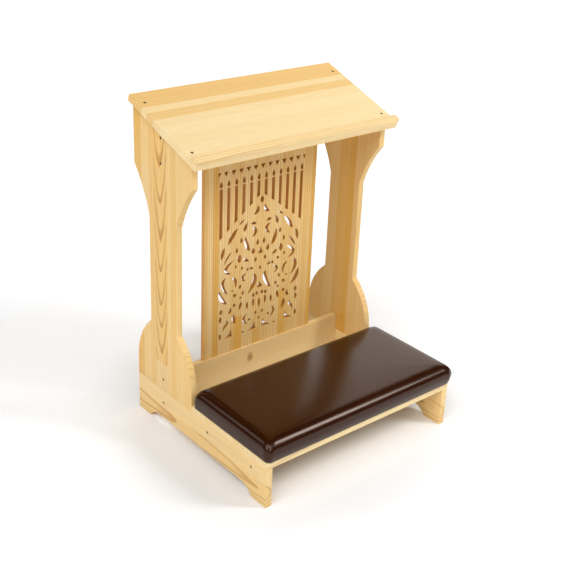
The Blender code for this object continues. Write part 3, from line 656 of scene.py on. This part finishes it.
stop_spans = [*spans_of("book_stop", DESK_SLOPE).values()]
stop_front, stop_back = stop_spans[1]
stop_foot, stop_top = stop_spans[2]
book_stop = strip_between("book_stop_strip", stop_spans)
select_parts(book_stop, "EDGE", lambda edge: all(
    abs(end.y - stop_back) < JOIN and abs(end.z - stop_top) < JOIN for end in ends_of(book_stop, edge)))
bpy.ops.mesh.bevel(offset=STOP_CHAMFER, segments=1)
select_parts(book_stop, "EDGE", lambda edge: (
    sum(end.z for end in ends_of(book_stop, edge)) / 2 > stop_foot + JOIN))
bpy.ops.mesh.bevel(offset=STOP_ROUND, segments=STOP_ROUND_STEPS)
bpy.ops.object.mode_set(mode="OBJECT")
bpy.ops.object.shade_smooth_by_angle(angle=SAWN_CURVE)
book_stop.data.transform(Matrix.Rotation(DESK_SLOPE, 4, "X"))
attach(book_stop, "root")
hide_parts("book_stop")
STOP_STAVES = [(stop_front, 0.24, stop_front - 0.080, 0.004, 0.30)]
dress(book_stop, pine("stop_pine", "book_stop", "X", "Y", STOP_STAVES, turn=DESK_SLOPE, seed=6.2))


# Kneeling board and battens. A wide pine board lies on the rails in front of the uprights, screwed down
# at its ends. Two battens on edge between the rails stiffen it from below.

KNEELER_TONES = (0.0, 0.3)
KNEELER_STAVES = staves_across(23, *spans_of("kneeler_board")["Y"], KNEELER_TONES)
dress(nodes["kneeler_board"], pine(
    "kneeler_pine", "kneeler_board", "X", "Y", KNEELER_STAVES, seed=8.8))
BATTEN_STAVES = [(spans_of("front_batten")["Z"][0], 0.40, 0.160, 0.008, 0.40)]
for node, seed in (("front_batten", 9.5), ("rear_batten", 12.5)):
    dress(nodes[node], pine(node + "_pine", node, "X", "Z", BATTEN_STAVES, seed=seed))


# Cushion. Foam on a plywood base, covered with one piece of smooth dark brown leatherette that is drawn
# tight over the edges, folded at the corners and stapled underneath. It is screwed on from below.

# The block before its cover is drawn tight, set against the box of the cover in the solids.
PAD_LEFT_IN = 0.0020
PAD_RIGHT_OUT = 0.0085
PAD_FRONT_OUT = 0.0035
PAD_BACK_IN = 0.0015
PAD_TOP_IN = 0.0018
PAD_ROLL = 0.031
PAD_ROLL_STEPS = 6
PAD_CORNER = 0.011
PAD_CORNER_STEPS = 4
PAD_FOOT_IN = 0.003
cover_low, cover_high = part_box("cushion_cover")
cover_middle = (cover_low + cover_high) / 2
cover_half = (cover_high - cover_low) / 2
PAD_SPANS = [
    (cover_low.x + PAD_LEFT_IN, cover_high.x + PAD_RIGHT_OUT),
    (cover_low.y - PAD_FRONT_OUT, cover_high.y - PAD_BACK_IN),
    (cover_low.z, cover_high.z - PAD_TOP_IN),
]

# The cover as cloth, which is blown out and then scaled to this rise and relaxed above the held underside.
CLOTH_VOXEL = 0.005
CLOTH_PRESSURE = 4.0
CLOTH_STIFFNESS = 20
CLOTH_FRAMES = 20
CLOTH_RISE = 0.0050
HELD_HEIGHT = CLOTH_VOXEL / 2
STIFF_HEIGHT = 2 * CLOTH_VOXEL
RELAX_SHARE = 0.5
RELAX_TIMES = 6

# The fold at each corner, the swell on both sides of it, and the lower edge that hangs over the board.
FOLD_ZONE = 0.05
FOLD_DEPTH = 0.0026
FOLD_WIDTH = 0.0040
FOLD_STRETCH = 1.05
SWELL_SHARE = 0.35
SWELL_AWAY = 3 * FOLD_WIDTH
SWELL_WIDTH = 1.5 * FOLD_WIDTH
LIP_DROP = 0.0030
LIP_REACH = 0.0025
LIP_HEIGHT = 0.030


def limited(share):
    """A share that stays between 0 and 1."""
    return min(1.0, max(0.0, share))


def cushion_start():
    """The padded block before its cover is drawn tight: narrower below, and rolled over above."""
    block = strip_between("cushion", PAD_SPANS)
    top = PAD_SPANS[2][1]
    select_parts(block, "EDGE", lambda edge: min(end.z for end in ends_of(block, edge)) > top - JOIN)
    bpy.ops.mesh.bevel(offset=PAD_ROLL, segments=PAD_ROLL_STEPS)
    select_parts(block, "EDGE", lambda edge: abs(
        ends_of(block, edge)[0].z - ends_of(block, edge)[1].z) > JOIN)
    bpy.ops.mesh.bevel(offset=PAD_CORNER, segments=PAD_CORNER_STEPS)
    bpy.ops.object.mode_set(mode="OBJECT")
    block.data.remesh_voxel_size = CLOTH_VOXEL
    bpy.ops.object.voxel_remesh()
    fullest = top - PAD_ROLL - cover_low.z
    for vert in block.data.vertices:
        lean = 1 - math.sin(limited((vert.co.z - cover_low.z) / fullest) * math.pi / 2)
        for axis in (0, 1):
            away = vert.co[axis] - cover_middle[axis]
            full = abs(PAD_SPANS[axis][1 if away > 0 else 0] - cover_middle[axis])
            vert.co[axis] -= away * lean * (1 - (cover_half[axis] - PAD_FOOT_IN) / full)
    return block


def draw_tight(cushion):
    """Blows the cover out over the foam as cloth, held along its underside."""
    before = [(vert.co.copy(), vert.normal.copy()) for vert in cushion.data.vertices]
    lowest = [vert.index for vert in cushion.data.vertices if vert.co.z < cover_low.z + HELD_HEIGHT]
    held = cushion.vertex_groups.new(name="underside")
    held.add(lowest, 1.0, "ADD")
    cloth = cushion.modifiers.new("cover", "CLOTH")
    cloth.settings.vertex_group_mass = held.name
    cloth.settings.use_pressure = True
    cloth.settings.uniform_pressure_force = CLOTH_PRESSURE
    cloth.settings.effector_weights.gravity = 0.0
    cloth.settings.tension_stiffness = CLOTH_STIFFNESS
    cloth.settings.compression_stiffness = CLOTH_STIFFNESS
    cloth.point_cache.frame_start = 1
    cloth.point_cache.frame_end = CLOTH_FRAMES
    for moment in range(1, CLOTH_FRAMES + 1):
        bpy.context.scene.frame_set(moment)
    bpy.ops.object.modifier_apply(modifier=cloth.name)
    bpy.context.scene.frame_set(1)
    rises = [(vert.co - start) @ outward for vert, (start, outward) in zip(cushion.data.vertices, before)]
    share = CLOTH_RISE / max(rises)
    for vert, (start, outward), rise in zip(cushion.data.vertices, before, rises):
        vert.co = start + outward * (share * max(0.0, rise))
    select_parts(cushion, "VERT", lambda vert: vert.co.z > cover_low.z + STIFF_HEIGHT)
    bpy.ops.mesh.vertices_smooth(factor=RELAX_SHARE, repeat=RELAX_TIMES)
    bpy.ops.object.mode_set(mode="OBJECT")


def fold_corners(cushion):
    """Sinks the upright crease of the folded cover into each corner, with a slight swell beside it."""
    for vert in cushion.data.vertices:
        away = vert.co - cover_middle
        across = cover_half.x - abs(away.x)
        along = cover_half.y - abs(away.y)
        if across + along > FOLD_ZONE:
            continue
        inward = Vector((-math.copysign(1, away.x), -math.copysign(1, away.y), 0)).normalized()
        aside = (across - along) / math.sqrt(2)
        rise = (vert.co.z - cover_low.z) / (cover_high.z - cover_low.z)
        share = math.sin(math.pi * limited(rise * FOLD_STRETCH))
        sink = math.exp(-(aside / FOLD_WIDTH) ** 2)
        swell = SWELL_SHARE * math.exp(-((abs(aside) - SWELL_AWAY) / SWELL_WIDTH) ** 2)
        vert.co += inward * (FOLD_DEPTH * (sink - swell) * share)


def hang_lip(cushion):
    """Lets the cover's lower edge hang a little over the front of the board that it rests on."""
    board_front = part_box("kneeler_board")[0].y
    for vert in cushion.data.vertices:
        hang = limited((board_front - vert.co.y) / LIP_REACH)
        fade = max(0.0, 1 - (vert.co.z - cover_low.z) / LIP_HEIGHT)
        vert.co.z -= LIP_DROP * hang * fade * fade


LEATHER_DARK = (0.019, 0.0040, 0.0005, 1.0)
LEATHER_LIGHT = (0.034, 0.0074, 0.0009, 1.0)
LEATHER_SHEEN = (1.0, 0.82, 0.72, 1.0)
LEATHER_GLOSS = 0.37
PEBBLES = 850.0
CREEP = 240
CREEP_DETAIL = 4.0
CLOUDS = 9
CLOUD_DETAIL = 3.0
CLOUD_TINT = 0.7
CREEP_TINT = 0.3
PEBBLE_RELIEF = 0.6
CREEP_RELIEF = 0.5
EMBOSSING_STRENGTH = 0.10
EMBOSSING_DEPTH = 0.0003
POLISHED_ROUGHNESS = 0.15
CLOUD_ROUGHNESS = 0.09
CREEP_ROUGHNESS = 0.05


def leatherette():
    """Embossed brown vinyl: a fine pebble grain, glossier where it has been polished."""
    finish, shader, place = new_finish("brown_leatherette")
    x, y, z = place.axes()
    pebble = place.node("TexVoronoi", {"feature": "SMOOTH_F1"}, {"Vector": place, "Scale": PEBBLES})
    creep = x.noise(x * CREEP, y * CREEP, z * CREEP, CREEP_DETAIL)
    cloud = x.noise(x * CLOUDS, y * CLOUDS, z * CLOUDS, CLOUD_DETAIL)
    tint = (cloud * CLOUD_TINT + creep * CREEP_TINT).blend(LEATHER_DARK, LEATHER_LIGHT)
    relief = pebble * PEBBLE_RELIEF + creep * CREEP_RELIEF
    plug(shader, Base_Color=tint, Normal=relief.bump(EMBOSSING_STRENGTH, EMBOSSING_DEPTH),
         Roughness=POLISHED_ROUGHNESS + CLOUD_ROUGHNESS * cloud + CREEP_ROUGHNESS * creep,
         Specular_IOR_Level=LEATHER_GLOSS, Specular_Tint=LEATHER_SHEEN)
    return finish


cushion = cushion_start()
draw_tight(cushion)
smoothing = cushion.modifiers.new("smoothing", "SUBSURF")
smoothing.levels = 1
smoothing.render_levels = 1
bpy.ops.object.modifier_apply(modifier=smoothing.name)
fold_corners(cushion)
hang_lip(cushion)
bpy.ops.object.shade_smooth()
dress(cushion, leatherette())
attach(cushion, "root")
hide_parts("cushion_cover", "cushion_foam")


# Cushion base. A sheet of raw plywood inside the cover, under the foam. It gives the staples and the
# screws from below something to hold in, and doesn't show.

PLY_PALE = (0.60, 0.44, 0.27, 1.0)
PLY_DARK = (0.42, 0.28, 0.16, 1.0)
PLY_PAIRS = 650
PLY_GRAIN_ALONG = 8
PLY_GRAIN_ACROSS = 300
PLY_DETAIL = 3.0
PLY_ROUGHNESS = 0.6
PLY_GRAIN_ROUGHNESS = 0.2


def plywood():
    """Raw plywood: pale and dark layers by turns, with the grain along the sheet."""
    finish, shader, place = new_finish("cushion_plywood")
    x, y, z = place.axes()
    layers = (z * PLY_PAIRS).math("FRACT").ease(0.45, 0.55)
    grain = x.noise(x * PLY_GRAIN_ALONG, y * PLY_GRAIN_ACROSS, z * PLY_GRAIN_ACROSS, PLY_DETAIL)
    plug(shader, Base_Color=(0.5 * layers + 0.5 * grain).blend(PLY_PALE, PLY_DARK),
         Roughness=PLY_ROUGHNESS + PLY_GRAIN_ROUGHNESS * grain)
    return finish


dress(nodes["cushion_base"], plywood())


# Screws. Countersunk zinc-plated wood screws with a cross recess, driven in until their heads lie just
# below the surface of the wood.

SCREW_FACETS = 24
SCREW_HEAD = 0.0037
SCREW_RIM = 0.0008
SCREW_CONE = 0.0028
SCREW_SHANK = 0.0020
SCREW_POINT = 0.006
SCREW_TIP = 0.08
RECESS_ARM = 0.0046
RECESS_WIDTH = 0.0011
RECESS_DEPTH = 0.0016


def wood_screw(length):
    """A wood screw that points down, with the top of its head at the origin."""
    bpy.ops.object.select_all(action="DESELECT")
    bpy.ops.mesh.primitive_cylinder_add(
        vertices=SCREW_FACETS, radius=SCREW_HEAD, depth=SCREW_RIM, location=(0, 0, -SCREW_RIM / 2))
    screw = bpy.context.object
    screw.data.transform(screw.matrix_world)
    screw.matrix_world = Matrix.Identity(4)
    select_parts(screw, "FACE", lambda face: abs(face.center.z + SCREW_RIM) < JOIN)
    shank = length - SCREW_RIM - SCREW_CONE - SCREW_POINT
    for drop, width in ((SCREW_CONE, SCREW_SHANK / SCREW_HEAD), (shank, 1.0), (SCREW_POINT, SCREW_TIP)):
        bpy.ops.mesh.extrude_region_move(TRANSFORM_OT_translate={"value": (0, 0, -drop)})
        bpy.ops.transform.resize(value=(width, width, 1))
    bpy.ops.object.mode_set(mode="OBJECT")
    arms = [(-RECESS_ARM / 2, RECESS_ARM / 2), (-RECESS_WIDTH / 2, RECESS_WIDTH / 2)]
    for spans in (arms, arms[::-1]):
        driver = strip_between("driver", [*spans, (-RECESS_DEPTH, RECESS_DEPTH)])
        recess = screw.modifiers.new("recess", "BOOLEAN")
        recess.object = driver
        bpy.context.view_layer.objects.active = screw
        bpy.ops.object.modifier_apply(modifier=recess.name)
        bpy.data.objects.remove(driver)
    screw.select_set(True)
    bpy.ops.object.shade_smooth_by_angle(angle=SAWN_CURVE)
    mesh = screw.data
    bpy.data.objects.remove(screw)
    return mesh


# The zinc's colours are dark brown: painted shade of the recesses that the heads sit in.
ZINC_PAINTED_SHADE_DARK = (0.035, 0.022, 0.012, 1.0)
ZINC_PAINTED_SHADE_LIGHT = (0.110, 0.078, 0.050, 1.0)
ZINC_BLOOM = 700
ZINC_DETAIL = 3.0
ZINC_ROUGHNESS = 0.30
BLOOM_ROUGHNESS = 0.25


def zinc():
    """Zinc plate, dark and brownish all over as painted shade of the holes that the heads lie in, and
    varying in patches.
    """
    finish, shader, place = new_finish("screw_zinc_in_painted_shade")
    x, y, z = place.axes()
    bloom = x.noise(x * ZINC_BLOOM, y * ZINC_BLOOM, z * ZINC_BLOOM, ZINC_DETAIL)
    plug(shader, Base_Color=bloom.blend(ZINC_PAINTED_SHADE_DARK, ZINC_PAINTED_SHADE_LIGHT),
         Roughness=ZINC_ROUGHNESS + BLOOM_ROUGHNESS * bloom, Metallic=1.0)
    return finish


LEFT = Vector((-1, 0, 0))
RIGHT = Vector((1, 0, 0))
UP = Vector((0, 0, 1))
DOWN = Vector((0, 0, -1))
OUT_OF_DESK = Vector((0, -math.sin(DESK_SLOPE), math.cos(DESK_SLOPE)))
# The way that the heads of each group's four screws face.
OUTWARD = {
    "kick_board_screw": (LEFT, LEFT, RIGHT, RIGHT),
    "upper_rail_screw": (LEFT, LEFT, RIGHT, RIGHT),
    "batten_screw": (LEFT, RIGHT, LEFT, RIGHT),
    "desk_screw": (OUT_OF_DESK,) * 4,
    "book_stop_screw": (-OUT_OF_DESK,) * 4,
    "kneeler_board_screw": (UP,) * 4,
    "cushion_screw": (DOWN,) * 4,
}
# The last turn of the driver differs from screw to screw, in radians.
LAST_TURN = 0.7
zinc_plate = zinc()
one_of_length = {}
for group, directions in OUTWARD.items():
    for number, outward in enumerate(directions, start=1):
        node = f"{group}_{number}"
        points = [vert.co for vert in nodes[node].data.vertices]
        low, high = (pick(point @ outward for point in points) for pick in (min, max))
        head = [point for point in points if high - point @ outward < JOIN]
        centre = sum(head, Vector()) / len(head)
        length = round(high - low, 4)
        if length not in one_of_length:
            one_of_length[length] = wood_screw(length)
        screw = start_piece(node + "_zinc", one_of_length[length].copy())
        facing = outward.to_track_quat("Z", "Y").to_matrix().to_4x4()
        driven = Matrix.Rotation(LAST_TURN * number, 4, "Z")
        screw.data.transform(Matrix.Translation(centre) @ facing @ driven)
        dress(screw, zinc_plate)
        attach(screw, "root")
        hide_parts(node)


# Studio. A plain pale floor in a white room, lit by two soft windows, two softboxes and a bright wall
# behind on the right. The camera stands in front of the bench, to its left and above it.

FLOOR_SIZE = 60.0
BACKDROP_RADIUS = 29.0
BACKDROP_SEGMENTS = 48
BACKDROP_RINGS = 24
BLACK = (0.0, 0.0, 0.0, 1.0)
WHITE = (1.0, 1.0, 1.0, 1.0)
FLOOR_DARK = (0.885, 0.897, 0.915, 1.0)
FLOOR_LIGHT = (0.915, 0.927, 0.945, 1.0)
FLOOR_MOTTLE = 3
FLOOR_DETAIL = 2.0
FLOOR_ROUGHNESS = 0.9
FLOOR_GLOSS = 0.1
# Painted light: the floor's own glow, which lifts its shadows round the bench and turns it white far away.
# Each glow gives its strength, and how far out it starts and is full.
NEAR_GLOW, NEAR_START, NEAR_FULL = 0.22, 0.34, 0.66
FAR_GLOW, FAR_START, FAR_FULL = 0.20, 1.1, 5.0


def pale_floor():
    """Pale matt paper with a glow of painted light that lifts its shadows round the bench and brightens it
    far away, so that it ends in white.
    """
    finish, shader, place = new_finish("floor_paper")
    x, y, z = place.axes()
    mottle = x.noise(x * FLOOR_MOTTLE, y * FLOOR_MOTTLE, z, FLOOR_DETAIL)
    away = (x * x + y * y).math("SQRT")
    glow = NEAR_GLOW * away.ease(NEAR_START, NEAR_FULL) + FAR_GLOW * away.ease(FAR_START, FAR_FULL)
    plug(shader, Base_Color=mottle.blend(FLOOR_DARK, FLOOR_LIGHT), Roughness=FLOOR_ROUGHNESS,
         Specular_IOR_Level=FLOOR_GLOSS, Emission_Color=glow.blend(BLACK, WHITE), Emission_Strength=1.0)
    return finish


def white_paper():
    """Plain white that lights nothing."""
    finish, shader = new_finish("backdrop_paper")[:2]
    plug(shader, Base_Color=BLACK, Emission_Color=WHITE, Emission_Strength=1.0)
    finish.cycles.emission_sampling = "NONE"
    return finish


bpy.ops.object.select_all(action="DESELECT")
bpy.ops.mesh.primitive_plane_add(size=FLOOR_SIZE)
floor = bpy.context.object
floor.name = "studio_floor"
dress(floor, pale_floor())

# Only the camera sees the backdrop, a white dome that closes the room behind the floor.
bpy.ops.mesh.primitive_uv_sphere_add(
    segments=BACKDROP_SEGMENTS, ring_count=BACKDROP_RINGS, radius=BACKDROP_RADIUS)
backdrop = bpy.context.object
backdrop.name = "studio_backdrop"
backdrop.visible_diffuse = False
backdrop.visible_glossy = False
backdrop.visible_transmission = False
backdrop.visible_shadow = False
dress(backdrop, white_paper())

WALL_DIRECTION = (0.660, 0.620, 0.424)
WALL_START = 0.86
WALL_FULL = 0.985
WALL_LIGHT = 1.55
ROOM_LIGHT = 0.02
ROOM_TINT = (1.0, 0.92, 0.83, 1.0)
room = bpy.data.worlds.new("studio_room")
room.use_nodes = True
sky = room.node_tree.nodes["Background"]
aim = Field(room.node_tree.nodes.new("ShaderNodeTexCoord").outputs["Generated"])
towards_wall = aim.node("VectorMath", {"operation": "DOT_PRODUCT"}, {0: aim, 1: WALL_DIRECTION}, output=1)
plug(sky, Color=ROOM_TINT, Strength=ROOM_LIGHT + WALL_LIGHT * towards_wall.ease(WALL_START, WALL_FULL))
bpy.context.scene.world = room
bpy.context.scene.view_settings.view_transform = "Standard"

WINDOW_ANGLE = math.radians(50)


def hang_lamp(light, direction):
    """Puts a light in the scene that shines in this direction."""
    lamp = bpy.data.objects.new(light.name, light)
    lamp.rotation_mode = "QUATERNION"
    lamp.rotation_quaternion = Vector(direction).to_track_quat("-Z", "Y")
    bpy.context.scene.collection.objects.link(lamp)
    return lamp


def softbox(name, place, aim, width, height, power):
    """A lit rectangle at a place, aimed at a point of the bench."""
    light = bpy.data.lights.new(name, "AREA")
    light.shape = "RECTANGLE"
    light.size = width
    light.size_y = height
    light.energy = power
    lamp = hang_lamp(light, Vector(aim) - Vector(place))
    lamp.location = place


def soft_window(name, direction, power):
    """Daylight from a wide window that is far away."""
    light = bpy.data.lights.new(name, "SUN")
    light.energy = power
    light.angle = WINDOW_ANGLE
    hang_lamp(light, direction)


softbox("front_right_softbox", place=(2.40, -2.57, 3.19), aim=(0, -0.2, 0.2),
        width=0.96, height=1.92, power=96.0)
softbox("back_left_softbox", place=(-2.1, 1.76, 1.67), aim=(0, -0.1, 0.3),
        width=0.6, height=0.8, power=3.5)
soft_window("left_window", direction=(0.66, 0.26, -0.70), power=2.00)
soft_window("front_window", direction=(0.18, 0.56, -0.81), power=0.62)

# The camera that the photograph was taken with: where it stood and how it was turned, and its lens.
CAMERA_PLACE = (-1.5809, -1.7973, 1.5448)
YAW = math.radians(40.25)
PITCH = math.radians(24.09)
ROLL = math.radians(2.33)
PHOTO_PIXELS = 573
FOCAL_PIXELS = 1009.8
SENSOR_WIDTH = 36.0
SHIFT_ACROSS = 0.0101
SHIFT_UP = -0.0501
forward = Vector((math.sin(YAW) * math.cos(PITCH), math.cos(YAW) * math.cos(PITCH), -math.sin(PITCH)))
level = Vector((math.cos(YAW), -math.sin(YAW), 0))
upward = level.cross(forward)
right = level * math.cos(ROLL) + upward * math.sin(ROLL)
above = upward * math.cos(ROLL) - level * math.sin(ROLL)
lens = bpy.data.cameras.new("camera")
lens.sensor_width = SENSOR_WIDTH
lens.lens = SENSOR_WIDTH * FOCAL_PIXELS / PHOTO_PIXELS
lens.shift_x = SHIFT_ACROSS
lens.shift_y = SHIFT_UP
camera = bpy.data.objects.new("camera", lens)
camera.matrix_world = Matrix.Translation(CAMERA_PLACE) @ Matrix(
    (right, above, -forward)).transposed().to_4x4()
bpy.context.scene.collection.objects.link(camera)
bpy.context.scene.camera = camera
